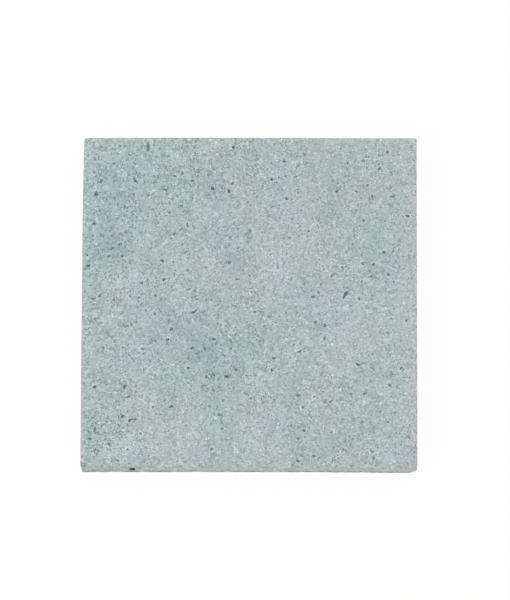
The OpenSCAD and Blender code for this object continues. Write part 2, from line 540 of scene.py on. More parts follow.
def keep_apart(pores, lines_x, lines_y, margin):
    """Gives each pore its nearest grid vertex and its number of rings, and drops a pore whose rings
    would share a vertex with an earlier one's or come within the margin of the grid's rim. Returns
    the kept pores, the row, column and rings of each, and a mask of the vertices that are free."""
    free = np.ones((len(lines_y), len(lines_x)), bool)
    cell_x = np.median(np.diff(lines_x))
    cell_y = np.median(np.diff(lines_y))
    kept, places = [], []
    for pore in pores:
        lean = math.radians(pore[4])
        reach_x = math.hypot(pore[2] * math.cos(lean), pore[3] * math.sin(lean)) / cell_x
        reach_y = math.hypot(pore[2] * math.sin(lean), pore[3] * math.cos(lean)) / cell_y
        rings = max(math.ceil(RING_ROOM * max(reach_x, reach_y) - RING_SLACK), 1)
        column = int(np.argmin(np.abs(lines_x - pore[0])))
        row = int(np.argmin(np.abs(lines_y - pore[1])))
        least = rings + 1 + margin
        if min(row, column) < least or row >= len(lines_y) - least or column >= len(lines_x) - least:
            continue
        window = (slice(row - rings, row + rings + 1), slice(column - rings, column + rings + 1))
        if not free[window].all():
            continue
        free[window] = False
        kept.append(pore)
        places.append((row, column, rings))
    return np.array(kept), np.array(places), free


pores, places, free = keep_apart(np.concatenate([placed, random_pores]), lines_x, lines_y,
                                 margin=len(EDGE_CELLS) - 2)
print(f"pores in the honed face: {len(pores)}, of up to {places[:, 2].max()} rings")

# %% [markdown]
# A ring of the grid is a small square. To make it an ellipse, each of its vertices keeps its
# direction and takes the ellipse's distance in that direction, times a wobble of two and three lobes.
# The depth goes as one minus the cube of the distance from the middle, so the walls are steep and
# the bottom is flat. If a pore reached into the next one, the grid would fold over, so each has its
# own territory of cells and shrinks until it fits.

# %% Gathering the grid at the pores
BIG_HOLE = 2.5
# painted shade: in a big hole the dark colour reaches out to the ring inside its rim, as the shadow under
# its lip
BIG_HOLE_PAINTED_SHADE = 0.7
DEPTH_AT_LEAST, DEPTH_FOR_WIDTH = 0.42, 0.38
DEPTH_VARIES = (0.95, 1.25)
RING_POWER = 0.6
LOBES = ((2, 0.20), (3, 0.18))
BIG_HOLE_LOBES = 0.60
TERRITORY, CROWDED_TERRITORY = 0.75, 0.42
GIVES_WAY = 0.4


def gather(local, pits, pores, places, free, seed):
    """Moves grid vertices onto their pores, a whole group of pores at a time. local holds two
    coordinates for each vertex of a grid. pits holds three values: the pit's depth, its dirt and painted
    shade, and 1 on the rim of a pore. Dirt and painted shade follow a depth of their own: it is the depth
    itself, but for big holes it reaches out to their edge, one ring inside the last, as painted shade on
    the wall under the hole's lip. Both arrays are changed in place. The ring outside a pore gives way a
    little, where its vertices are free."""
    rng = np.random.default_rng(seed)
    cell = np.array([np.median(np.diff(local[..., 0], axis=1)), np.median(np.diff(local[..., 1], axis=0))])
    for rings in np.unique(places[:, 2]):
        group = places[:, 2] == rings
        spot = places[group, :, None, None]
        centre = pores[group, None, None, :2]
        half_long, half_wide, lean, factor = pores[group, 2:].T[..., None, None]
        lean = np.radians(lean)
        offset = np.arange(-rings - 1, rings + 2)
        down, across = np.meshgrid(offset, offset, indexing="ij")
        ring = np.maximum(np.abs(down), np.abs(across))[None]
        rows, columns = np.broadcast_arrays(spot[:, 0] + down, spot[:, 1] + across)
        around = np.arctan2(down, across) - lean
        phase = rng.uniform(0, 2 * np.pi, (2, len(lean), 1, 1))
        deepest = factor * (DEPTH_AT_LEAST + DEPTH_FOR_WIDTH * half_wide)
        deepest = deepest * rng.uniform(*DEPTH_VARIES, deepest.shape)
        big = deepest > BIG_HOLE
        wobble = sum(height * np.cos(count * around + start)
                     for (count, height), start in zip(LOBES, phase))
        share = np.minimum(ring / rings, 1.0)
        spread = (1 + np.where(big, BIG_HOLE_LOBES, 1.0) * wobble) * share ** RING_POWER
        along = half_long * spread * np.cos(around)
        aside = half_wide * spread * np.sin(around)
        wall = np.stack([along * np.cos(lean) - aside * np.sin(lean),
                         along * np.sin(lean) + aside * np.cos(lean)], axis=-1)
        shift = centre - local[rows, columns][:, rings + 1, rings + 1, None, None]
        inner = np.broadcast_to(ring <= rings, rows.shape)
        outer = free[rows, columns] & ~inner
        crowded = (~free[rows, columns] & ~inner).any(axis=(1, 2))[:, None, None, None]
        territory = (rings + np.where(crowded, CROWDED_TERRITORY, TERRITORY)) * cell
        widest = np.abs(wall).max(axis=(1, 2), keepdims=True)
        target = centre + wall * np.minimum((territory - np.abs(shift)) / widest, 1.0)
        outside = local[rows, columns] + GIVES_WAY * shift
        local[rows[outer], columns[outer]] = outside[outer]
        local[rows[inner], columns[inner]] = target[inner]
        edge = np.where(big, (rings - 1) / rings, 1.0)
        fall = np.maximum(1 - (share / edge) ** 3, 0.0)
        # dirt for the pore floor, and painted shade in the deepest parts and on a big hole's walls
        dirt_and_shade = np.maximum(fall, np.where(big & (share <= edge), BIG_HOLE_PAINTED_SHADE, 0.0))
        values = np.stack(np.broadcast_arrays(fall * deepest, dirt_and_shade * deepest, ring == rings), axis=-1)
        pits[rows[inner], columns[inner]] = values[inner]


face_pits = np.zeros((CELLS + 1, CELLS + 1, 3))
gather(face_points[..., :2], face_pits, pores, places, free, seed=21)
face_points[..., 2] -= face_pits[..., 0]
print(f"deepest pore of the honed face: {face_pits[..., 0].max():.1f} mm")

# %% [markdown]
# The sides have the same pores. There the two coordinates are the distance along the path and the
# height, so the same function serves, and a pore's shift along the path is turned into a shift along
# the side. The path starts at the front side, whose large pits are listed. The other three
# sides get large ones at random, and small random pores lie on all four. No random pore lies near a
# corner, where the side turns.

# %% Pores in the sides
NEAR_CORNER = 3.5
SIDE_DEEPER = 1.5
LARGER, LARGE_DEEPER, LARGE_EXTRA, LARGE_FROM_EDGE = 2.2, 1.2, 0.3, 3.0
side_along = np.concatenate([[0.0], np.cumsum(np.linalg.norm(np.diff(rim_xy, axis=0), axis=1))])
PATH = side_along[-1] + np.linalg.norm(rim_xy[0] - rim_xy[-1])
side_local = np.stack(np.broadcast_arrays(side_along[None], profile[:, 1, None]), axis=-1).astype(float)
side_pits = np.zeros((ROWS, COLUMNS, 3))
flat = slice(ARRIS_STEPS, ARRIS_STEPS + SIDE_STEPS + 1)
small = scatter(SIDE_TRIES, PATH / 2, THICKNESS / 2, spread=0.48, seed=12)
small = small * (1, 1, 1, 1, 1, SIDE_DEEPER) + (PATH / 2, THICKNESS / 2, 0, 0, 0, 0)
large = scatter(LARGE_TRIES, PATH * 3 / 8, THICKNESS / 2 - LARGE_FROM_EDGE, spread=0.25, seed=15)
large = large * (1, 1, LARGER, LARGER, 1, LARGE_DEEPER)
large = large + (PATH * 5 / 8, THICKNESS / 2, 0, 0, 0, LARGE_EXTRA)
scattered = np.concatenate([large, small])
from_corner = np.abs((scattered[:, 0] + PATH / 8) % (PATH / 4) - PATH / 8)
front_pits = np.array(SIDE_PITS) + (half_x, 0, 0, 0, 0, 0)
side_pores = np.concatenate([front_pits, scattered[from_corner >= NEAR_CORNER]])
upwards = side_local[flat][::-1]
side_pores, places, free = keep_apart(side_pores, side_along, upwards[:, 0, 1], margin=0)
gather(upwards, side_pits[flat][::-1], side_pores, places, free, seed=22)
slide = side_local[..., 0] - side_along[None]
along_side = np.stack([-rim_out[:, 1], rim_out[:, 0]], axis=1)
side_points[..., :2] += slide[..., None] * along_side[None] - side_pits[..., :1] * rim_out[None]
side_points[..., 2] = side_local[..., 1]
print(f"pores in the sides: {len(side_pores)}")

# %% [markdown]
# ## Wear
# No stone tile keeps sharp arrises. Each time it is lifted or knocked, a little breaks off, so the
# arris becomes a narrow, uneven bevel with a chip here and there. A Bevel modifier would make it even.
# We cut it with a plane at 45 degrees instead, and let smooth noise say how deep the plane stands at
# each place: a vertex outside the plane is moved straight back onto it.
# A broken corner is one more such plane, given in a list, with a rough surface.

# %% Knocked arrises and corners
ARRIS_BEVEL = 0.55
BEVEL_SWINGS = ((0.28, 7.0), (0.22, 1.9))
CHIP_DEPTH, CHIP_SIZE, CHIP_FROM = 2.6, 4.5, 0.52
BREAK_GRAIN = 1.6
CORNER_KNOCKS = [
    # a point of the break (x, y, z), which way the break faces (x, y, z), roughness
    (98.0, -99.8, 6.0, 0.30, -0.93, -0.10, 0.22),
    (98.7, -98.9, 18.8, 0.62, -0.60, 0.50, 0.16),
    (-99.85, -99.6, 0.8, -0.52, -0.70, -0.50, 0.14),
    (99.4, 99.5, 19.6, 0.60, 0.72, 0.40, 0.10),
    (-99.4, 99.6, 19.7, -0.76, 0.58, 0.35, 0.10),
]


def depth_inside(xy):
    """How far inside the slab's outline a point is, in plan: the distance to a rectangle with
    rounded corners."""
    beyond = np.abs(xy) - (LENGTH / 2 - CORNER_R, WIDTH / 2 - CORNER_R)
    outside = np.linalg.norm(np.maximum(beyond, 0.0), axis=1)
    return CORNER_R - outside - np.minimum(beyond.max(axis=1), 0.0)


def knock_arris(points, drop, sign, seed):
    """Cuts an arris back to a bevel whose width follows two sizes of smooth noise, and has a chip
    where the peaks of a third stand above a level. inside + drop is how far a point is from the edge,
    and a point nearer than the bevel moves half the difference inwards and half along Z."""
    peaks = np.maximum(smooth_noise(points, CHIP_SIZE, seed + 2) - CHIP_FROM, 0.0)
    width = ARRIS_BEVEL + CHIP_DEPTH * peaks
    for step, (swing, size) in enumerate(BEVEL_SWINGS):
        width += swing * smooth_noise(points, size, seed + step)
    short = np.maximum(width - depth_inside(points[:, :2]) - drop, 0.0) / 2
    points[:, :2] -= short[:, None] * plan_normal(points[:, :2])
    points[:, 2] += sign * short
    return short


def knock_corners(points):
    """Moves what lies beyond each break plane back onto it, less a little smooth noise."""
    cut = np.zeros(len(points))
    for x, y, z, *facing, rough in CORNER_KNOCKS:
        facing = np.array(facing) / np.linalg.norm(facing)
        beyond = (points - (x, y, z)) @ facing
        beyond += rough * smooth_noise(points, BREAK_GRAIN, seed=31)
        beyond = np.maximum(beyond, 0.0)
        points -= beyond[:, None] * facing
        cut = np.maximum(cut, beyond)
    return cut


# %% [markdown]
# The saw leaves shallow ridges on the sides, a few hundredths of a millimetre high, where each turn
# of the blade bit a little deeper. They are arcs of the blade's rim, so they lean and bend a little.
# The sides are not quite straight either: a sawn side strays by a third to a half of a millimetre.

# %% Saw marks and bowed sides
SAW_RIDGE = 0.035
SAWN_ROUGH = 0.10
BLADE_R = 175.0
RIDGE_PITCH, RIDGE_LEAN, RIDGE_STEADY = 3.1, 0.25, 0.6
RIDGE_DRIFT, DRIFT_SIZE = 0.9, 9.0
FRONT_HOLLOW, BACK_SLOPE, RIGHT_SLOPE = 0.30, 0.26, 0.15
# an end that falls away: how strongly, and from what part of half the side
BACK_AT_LEFT, LEFT_AT_BACK, LEFT_AT_FRONT = (2.5, 0.7), (1.5, 0.4), (0.25, 0.3)


def saw_ridges(along, height):
    """Ridge height from -1 to 1: a sine across arcs of the blade's rim, whose pitch and strength
    drift."""
    bent = along + RIDGE_LEAN * height + height ** 2 / (2 * BLADE_R)
    line = np.stack([bent, np.zeros_like(bent), np.zeros_like(bent)], axis=1)
    drift = smooth_noise(line, DRIFT_SIZE, seed=41)
    wave = np.sin(2 * np.pi * (bent / RIDGE_PITCH + RIDGE_DRIFT * drift))
    return wave * (RIDGE_STEADY + (1 - RIDGE_STEADY) * drift)


def end_fall(along, amount, start):
    """Nothing up to the start, then a parabola towards the end of a side."""
    return amount * np.maximum(along - start, 0) ** 2


def bow(points):
    """Moves the sides inwards in plan, by tenths of a millimetre. The front is hollow in a parabola,
    the back runs in towards its left end and the right side towards the front, and the left side
    falls away at both ends. Each shift fades to nothing at the middle of the slab."""
    x, y = points[:, 0] / (LENGTH / 2), points[:, 1] / (WIDTH / 2)
    front = FRONT_HOLLOW * (1 - x ** 2) * np.maximum(-y, 0)
    back = (BACK_SLOPE * np.maximum(0.1 - x, 0) + end_fall(-x, *BACK_AT_LEFT)) * np.maximum(y, 0)
    left = (end_fall(y, *LEFT_AT_BACK) + end_fall(-y, *LEFT_AT_FRONT)) * np.maximum(-x, 0)
    right = RIGHT_SLOPE * (1 - y) * np.maximum(x, 0)
    points[:, 0] += left - right
    points[:, 1] += front - back


# %% [markdown]
# ## One closed mesh
# Now the honed face, the sides and the bed become one list of points and one list of faces. They
# share their rims, so the slab is closed. Faces are written counter-clockwise as seen from outside,
# which is what makes them point outwards.

# %% Points and wear together
HONED_SWELL, SWELL_SIZE = 0.03, 16.0
SAWN_GRAIN = 1.9
side_numbers = face_numbers.size + np.arange(ROWS * COLUMNS).reshape(ROWS, COLUMNS)
bed_numbers = face_numbers.size + side_numbers.size + np.arange(BED_COUNT).reshape(BED_CELLS + 1, -1)

ridges = saw_ridges(side_local[..., 0].ravel(), side_local[..., 1].ravel())
rough = (1 + smooth_noise(side_points.reshape(-1, 3), SAWN_GRAIN, seed=42)) / 2
saw_dip = (SAW_RIDGE * (1 - ridges) + SAWN_ROUGH * rough).reshape(ROWS, COLUMNS, 1)
side_points[flat, :, :2] -= saw_dip[flat] * rim_out[None]

points = np.concatenate([part.reshape(-1, 3) for part in (face_points, side_points, bed_points)])
upper = points[:face_numbers.size]
upper[:, 2] -= HONED_SWELL * (1 + smooth_noise(upper, SWELL_SIZE, seed=43)) / 2
wear = knock_arris(points, THICKNESS - points[:, 2], -1.0, seed=51)
wear += knock_arris(points, points[:, 2], 1.0, seed=61)
wear += knock_corners(points)
bow(points)
pits = np.concatenate([face_pits.reshape(-1, 3), side_pits.reshape(-1, 3), np.zeros((BED_COUNT, 3))])
print(f"points: {len(points)}, worn back by up to {wear.max():.1f} mm")

# %% [markdown]
# Each grid gives its quads from its vertex numbers. The sides start with the honed face's own rim,
# and their last column meets their first. The gap between the fine ring at the foot and the bed's
# coarse rim is closed in two steps: each fine cell has a triangle to the nearest coarse vertex, and
# each coarse cell has one that fits between those, like a keystone.

# %% Faces
def grid_faces(numbers):
    """Quads of a grid of vertex numbers: along a row first, then across."""
    corners = [numbers[:-1, :-1], numbers[:-1, 1:], numbers[1:, 1:], numbers[1:, :-1]]
    return np.stack(corners, axis=-1).reshape(-1, 4)


rings = np.concatenate([rim[None], side_numbers])
honed_faces = grid_faces(face_numbers)
side_faces = grid_faces(np.concatenate([rings, rings[:, :1]], axis=1))[:, [0, 3, 2, 1]]
bed_faces = grid_faces(bed_numbers)[:, ::-1]

bed_rim = rim_of(bed_numbers)
foot = rings[-1]
nearest = ((np.arange(COLUMNS) + FINE_PER_COARSE // 2) // FINE_PER_COARSE) % len(bed_rim)
fan_faces = np.stack([foot, bed_rim[nearest], np.roll(foot, -1)], axis=1)
middle = foot[FINE_PER_COARSE // 2::FINE_PER_COARSE]
key_faces = np.stack([bed_rim, np.roll(bed_rim, -1), middle], axis=1)
quads = np.concatenate([honed_faces, side_faces, bed_faces])
triangles = np.concatenate([fan_faces, key_faces])
print(f"triangles: {2 * len(quads) + len(triangles)}")

# %% [markdown]
# ## The stone's tone
# Seen from a step back the slab is not one colour. It has broad, faint clouds: a bluish one at the
# upper left, a darker blue-green one left of the middle, a warm one right of it, and a green cast
# along the back edge. Each is a soft spot with a centre, a size, a lean and a tint, and they add up.
# The edges have casts of their own: the foot of the sides is dark and uneven, which is painted shadow
# where the slab stands on the floor, and the front arris is a little darker. The front side is darker
# about its hole.
# The foot's painted shadow goes by height alone, so the bed takes it all over and comes out blotched.
# The sum is stored on the mesh as a colour attribute, which the material multiplies in.

# %% Clouds of tone
TONE_CLOUDS = [
    # x, y, half length, half width, lean in degrees, then the tint in thousandths: red, green, blue
    (-84, 54, 27, 14, 85, -80, -56, -20), (-82, 32, 12, 6, 5, -100, -80, -88),
    (-100, 45, 32, 6, 90, -40, 14, -30), (-55, 98, 36, 5, 0, -46, 4, -36),
    (-60, 80, 42, 20, 0, -20, 2, -2), (-48, 38, 34, 22, 90, -18, 2, 0),
    (-60, -2, 9, 6, 0, -56, -44, -40), (-45, -14, 13, 7, -30, -84, -58, -42),
    (-27, -30, 12, 9, -45, -128, -98, -78), (-20, -46, 9, 7, 90, -88, -66, -60),
    (-18, -63, 11, 5, 95, -62, -54, -48), (5, -25, 16, 8, 10, -52, -38, -38),
    (-50, -45, 22, 12, 90, -18, -4, -6), (26, -17, 16, 5, 10, -26, -6, -8),
    (73, 34, 15, 7, 85, -82, -60, -60), (82, 40, 28, 9, 90, -18, 4, 0),
    (36, 12, 8, 7, 0, -104, -88, -86), (39, -6, 14, 5, 90, -60, -50, -50),
    (50, 68, 14, 7, 75, -68, -58, -60), (65, 80, 24, 11, 0, -26, -6, -8),
    (-38, 70, 12, 6, 80, -30, -24, -24), (-35, 53, 9, 5, 60, -34, -28, -26),
    (-11, 25, 14, 6, -65, -84, -72, -64), (14, 14, 13, 12, 0, 70, 46, 54),
    (24, 50, 22, 11, 75, 58, 18, 38), (66, -10, 20, 13, 0, 52, 42, 44),
    (93, -8, 16, 8, 90, 72, 54, 58), (50, -26, 12, 8, 0, 26, 24, 24),
    (-70, -87, 14, 7, 10, 122, 108, 104), (-76, 12, 9, 8, 0, 34, 32, 30),
    (8, -50, 11, 6, 90, 54, 46, 48), (5, -77, 15, 7, 90, 48, 30, 40),
    (88, -58, 13, 7, 40, 54, 46, 48), (60, -55, 9, 6, 0, 32, 30, 30),
    (-35, -81, 11, 6, 90, 56, 30, 40), (-89, -22, 12, 7, 60, 38, 36, 32),
    (27, -52, 14, 6, 90, -78, -66, -66), (28, -83, 11, 6, 90, -90, -74, -76),
    (67, -79, 12, 7, 60, -64, -54, -54), (48, -84, 7, 6, 0, -50, -44, -44),
    (-95, -76, 10, 6, 90, -110, -80, -96), (-50, -61, 9, 6, 90, -48, -38, -38),
    (-76, -50, 9, 6, 0, -36, -30, -30), (-92, 92, 10, 8, 0, 42, 40, 38),
    (-28, 91, 14, 8, 0, 54, 48, 48), (2, 92, 30, 8, 0, -14, 4, -4),
    (45, 89, 13, 8, 0, -24, -24, -24), (90, 91, 10, 9, 0, 44, 42, 38),
    (50, 49, 12, 9, 90, -60, -46, -48), (-50, 50, 11, 9, 90, 38, 34, 34),
    (-30, 30, 11, 9, 0, -34, -26, -26), (-66, 28, 24, 11, 10, -28, -12, -24),
    (-95, 15, 36, 9, 90, -30, 2, -6), (-8, 32, 10, 9, 90, -22, -4, 2),
    (10, 32, 9, 9, 90, 8, 0, 10), (-30, 10, 10, 9, 0, 30, 30, 30),
    (-30, -10, 10, 8, 0, -40, -32, -16), (30, -11, 10, 9, 90, -38, -34, -38),
    (30, -30, 11, 9, 0, 46, 42, 42), (70, -30, 13, 9, 0, -28, -26, -26),
    (-28, -28, 14, 12, 0, -14, 0, 4), (-90, -50, 10, 10, 90, -38, -24, -38),
    (10, -50, 9, 9, 90, 34, 28, 28), (50, -72, 12, 9, 90, -36, -36, -32),
    (-50, -90, 9, 8, 0, -28, -26, -24), (-31, -90, 11, 9, 0, 30, 6, 24),
    (-10, -90, 9, 8, 0, -28, -32, -26), (10, -88, 10, 9, 0, 28, 4, 22),
    (50, -90, 19, 8, 0, -32, -32, -28), (91, -90, 10, 10, 0, 56, 46, 48),
    (-99, -98.5, 2.5, 1.6, 0, -200, -210, -210), (-89, -100, 8, 1.2, 0, -70, -75, -75),
    (-69.2, -100.3, 2.9, 1.1, 0, -220, -220, -220), (-22, 48, 9, 7, 0, 16, 0, 0),
    (20, -17, 8, 7, 0, -16, 0, 0), (0, -68, 7, 7, 0, -15, 0, 0),
    (65, -83, 8, 7, 0, -14, 0, 0), (85, -52, 14, 18, 0, 10, 0, 0),
    (-46, -66, 5, 14, 0, -12, 0, 0), (-97, 45, 6, 14, 0, 0, 0, 30),
]
EDGE_TINTS_AND_FOOT_SHADOW = [
    # the edge it starts from, its reach in mm, then the tint in thousandths: red, green, blue
    ("left", 1.8, 70, -60, 2),
    ("left", 5.5, 55, 55, 35),
    ("left", 11.0, -26, -6, -12),
    ("right", 2.5, 26, 14, 2),
    ("right", 9.0, 26, -8, 6),
    ("right", 18.0, 16, 14, 14),
    ("back", 2.0, 144, 64, 60),
    ("back", 3.0, 44, 22, 16),
    ("back", 6.5, -14, 14, -12),
    ("front", 2.0, 14, -6, -8),
    ("front arris", 1.0, -110, -105, -105),
    # the foot's cast is painted shadow: the contact shade where the slab stands on the floor, made ragged
    # by noise
    ("foot", 4.0, -790, -745, -745),
]
RANDOM_CLOUDS = [
    # size in mm, strength in thousandths: red, green, blue, then the seed
    (30.0, 14.0, 13.3, 12.88, 71), (13.0, 26.0, 24.7, 23.92, 72), (6.5, 34.0, 32.3, 31.28, 73),
    (22.0, 28.0, 0.0, 0.0, 74), (18.0, 0.0, 0.0, 18.0, 75),
]
# noise that makes the painted shadow at the foot ragged
FOOT_SHADOW_UNEVEN = [
    # strength, size in mm, seed
    (0.9, 4.5, 76), (1.3, 2.0, 77),
]
BASE_CAST = (8, 0, 0)
SIDE_MOTTLE, MOTTLE_SIZE, MOTTLE_UPRIGHT = 290.0, 2.4, 0.5
DARKEST = 0.10


def tone_and_foot_shadow(points):
    """Tint of each point: one and a base cast, plus each cloud's tint times exp(-d^2), where d is the
    distance from its centre measured in its own half lengths, plus the casts that fade in towards
    the edges, plus faint random clouds, whose red and blue also drift apart from the green.
    The sides are mottled more strongly than the honed face, and unevenness makes the painted shadow at the
    foot ragged."""
    tint = np.zeros((len(points), 3)) + BASE_CAST
    for x, y, long, wide, lean, *shade in TONE_CLOUDS:
        turn = np.radians(lean)
        dx, dy = points[:, 0] - x, points[:, 1] - y
        along = (dx * np.cos(turn) + dy * np.sin(turn)) / long
        across = (dy * np.cos(turn) - dx * np.sin(turn)) / wide
        tint += np.exp(-(along ** 2 + across ** 2))[:, None] * shade
    away = {"left": LENGTH / 2 + points[:, 0], "right": LENGTH / 2 - points[:, 0],
            "back": WIDTH / 2 - points[:, 1], "front": WIDTH / 2 + points[:, 1], "foot": points[:, 2]}
    away["front arris"] = np.hypot(away["front"], THICKNESS - points[:, 2])
    foot_shadow_uneven = np.ones(len(points))
    for strength, size, seed in FOOT_SHADOW_UNEVEN:
        foot_shadow_uneven += strength * smooth_noise(points, size, seed)
    for edge, reach, *shade in EDGE_TINTS_AND_FOOT_SHADOW:
        cast = np.exp(-(away[edge] / reach) ** 2) * (foot_shadow_uneven if edge == "foot" else 1)
        tint += cast[:, None] * shade
    for size, *shade, seed in RANDOM_CLOUDS:
        tint += smooth_noise(points, size, seed)[:, None] * shade
    on_side = np.exp(-np.maximum(depth_inside(points[:, :2]), 0.0) ** 2)
    mottle = smooth_noise(points * (1, 1, MOTTLE_UPRIGHT), MOTTLE_SIZE, 78)
    tint += (SIDE_MOTTLE * on_side * mottle)[:, None]
    return np.maximum(1 + tint / 1000, DARKEST)


tone = tone_and_foot_shadow(points)
print(f"tone: {tone.min():.2f} to {tone.max():.2f}")

# %% [markdown]
# ## A map that suits a slab
# When the look is baked into an image, each face gets its share of the image. The honed face is what
# people look at, so it gets the largest square, the four sides get strips at the same scale, and
# the bed makes do with a small square. Corners of faces carry the map, not points, because a point on
# the rim lies on two pieces of the map.

# %% The bake map
MAP_FACE = 0.72
MAP_GAP = 0.006
MAP_STRIP = (1 - MAP_FACE - 6 * MAP_GAP) / 4
MAP_BED = 1 - MAP_FACE - 3 * MAP_GAP


def flat_map(faces, size, corner):
    """Map places of faces that lie flat: the plan, scaled to a square of that size."""
    return (points[faces][..., :2] / (LENGTH, WIDTH) + 0.5) * size + corner


def strip_map():
    """Map places of the side faces: each side is an upright strip, as long as the honed face's
    square. u goes down the profile, and v along the path from the side's first column."""
    strip = np.arange(COLUMNS) // CELLS
    first = side_along[strip * CELLS]
    start = (side_along - first) / (PATH / 4)
    end = (np.append(side_along[1:], PATH) - first) / (PATH / 4)
    down = np.arange(ROWS + 1) / ROWS
    left = MAP_FACE + MAP_GAP * (2 + strip) + MAP_STRIP * strip
    u = MAP_STRIP * np.stack([down[:-1], down[:-1], down[1:], down[1:]], axis=-1)[:, None]
    v = MAP_GAP + MAP_FACE * np.stack([start, end, end, start], axis=-1)[None]
    u, v = np.broadcast_arrays(left[None, :, None] + u, v)
    return np.stack([u, v], axis=-1).reshape(-1, 4, 2)[:, [0, 3, 2, 1]]


face_corner = (MAP_GAP, MAP_GAP)
bed_corner = (MAP_GAP, MAP_FACE + 2 * MAP_GAP)
quad_map = np.concatenate([flat_map(honed_faces, MAP_FACE, face_corner), strip_map(),
                           flat_map(bed_faces, MAP_BED, bed_corner)])
triangle_map = flat_map(triangles, MAP_BED, bed_corner)
bake_map = np.concatenate([quad_map.reshape(-1, 2), triangle_map.reshape(-1, 2)])
print(f"map: honed face {MAP_FACE:.2f}, each side {MAP_STRIP:.3f} wide, bed {MAP_BED:.2f}")

# %% [markdown]
# The mesh also carries what the material has to know of each point: how deep in a pore it lies,
# which sets the pore's dirt and painted shade, how far it is worn back, how thick the specks lie there,
# and the tone, which holds the foot's painted shadow and is a little paler on the rim of a pore, where
# the edge catches dust. The rims are marked sharp, or smooth shading would turn each pit into a soft
# dimple.

# %% The mesh
HONED, SAWN, BED = range(3)
PORE_FULL = 3.0
WORN_FULL = 0.4
SIDE_SKIN, SIDE_CROWD = 0.5, 0.3
BRIM_LIFT = 0.13
SHARP_FROM = 38


def make_slab():
    """Puts the points, faces, attributes and map into one mesh, and marks the pores' rims as sharp."""
    mesh = bpy.data.meshes.new("stone_slab")
    mesh.from_pydata((points * MM).tolist(), [], quads.tolist() + triangles.tolist())
    counts = len(honed_faces), len(side_faces), len(bed_faces) + len(triangles)
    mesh.polygons.foreach_set("material_index", np.repeat([HONED, SAWN, BED], counts))
    on_side = depth_inside(points[:, :2]) < SIDE_SKIN
    known = {"pore": np.clip(pits[:, 1] / PORE_FULL, 0, 1),
             "wear": np.clip(wear / WORN_FULL, 0, 1),
             "crowd": speck_crowd(points[:, 0], points[:, 1]) + SIDE_CROWD * on_side}
    for name, values in known.items():
        mesh.attributes.new(name, "FLOAT", "POINT").data.foreach_set("value", values)
    shade = tone * (1 + BRIM_LIFT * pits[:, 2:])
    colour = mesh.attributes.new("tone", "FLOAT_COLOR", "POINT")
    colour.data.foreach_set("color", np.c_[shade, np.ones(len(shade))].ravel())
    mesh.uv_layers.new(name="OFBake").data.foreach_set("uv", bake_map.ravel())
    mesh.shade_smooth()
    mesh.set_sharp_from_angle(angle=math.radians(SHARP_FROM))
    slab = bpy.data.objects.new("stone_slab", mesh)
    bpy.context.scene.collection.objects.link(slab)
    return slab


slab = make_slab()
print(f"mesh: {len(slab.data.vertices)} points, {len(slab.data.polygons)} faces")

# %% [markdown]
# ## What the stone is made of
# Under a hand lens the stone is a mosaic: a pale groundmass of crystals about a millimetre across,
# white feldspar grains, dark green and black grains, and pin-prick pores too small for the mesh.
# All of these are solid textures, which fill space like the real minerals, so that they run on over
# an arris from the honed face to the side. They read the Object coordinates, turned into
# millimetres, and each is a node group of its own, so that the honed, the sawn and the bed material
# can all use it.

# %% Crystals
def crystal_group():
    """A random tone for each crystal of a mosaic. The position is stirred by noise first, because
    Voronoi cells alone have straight sides."""
    tree, given = new_group("Crystal mosaic", {"Position": None, "Grain size": 1.0, "Stir": 0.4},
                            ("Tone", "Distance", "Second tone"))
    scale = math_node(tree, "DIVIDE", 1.0, given["Grain size"])
    reach = math_node(tree, "MULTIPLY", given["Stir"], scaled(tree, given["Grain size"], 2.0))
    stir = noise(tree, given["Position"], scaled(tree, scale, 1.7))["Color"]
    stir = vector_node(tree, "SCALE", vector_node(tree, "SUBTRACT", stir, (0.5, 0.5, 0.5)), reach)
    moved = vector_node(tree, "ADD", given["Position"], stir)
    cells = place(tree, "ShaderNodeTexVoronoi", {"Vector": moved, "Scale": scale}).outputs
    tones = place(tree, "ShaderNodeSeparateColor", {"Color": cells["Color"]}).outputs
    return give_out(tree, {"Tone": tones[0], "Distance": cells["Distance"], "Second tone": tones[1]})


crystals = crystal_group()

# %% [markdown]
# Single grains are picked out of the same mosaic: of all its cells a certain share is kept, by the
# cell's random tone, and of each kept cell only the part near its centre.

# %% Scattered grains
def grain_group():
    """A mask of scattered round grains: 1 inside a grain, 0 outside. Share is the part of all cells
    that hold one, and Size is the usual radius as a part of the spacing."""
    tree, given = new_group("Scattered grains", {"Position": None, "Spacing": 2.0, "Share": 0.2,
                                                 "Size": 0.3}, ("Mask",))
    cells = use_group(tree, crystals, {"Position": given["Position"], "Grain size": given["Spacing"],
                                       "Stir": 0.6})
    chosen = math_node(tree, "LESS_THAN", cells["Tone"], given["Share"])
    radius = math_node(tree, "MULTIPLY", given["Size"], math_node(tree, "ADD", cells["Second tone"], 0.5))
    inside = ramp(tree, cells["Distance"], scaled(tree, radius, 1.5), radius, "SMOOTHSTEP")
    return give_out(tree, {"Mask": math_node(tree, "MULTIPLY", chosen, inside)})


grains = grain_group()

# %% [markdown]
# Here and there two crystals do not quite meet, and a dark hairline shows between them. The hairlines
# are the cell borders of a coarser mosaic, cut into short pieces by noise, so that they come out as
# commas and small hooks and never as a net.

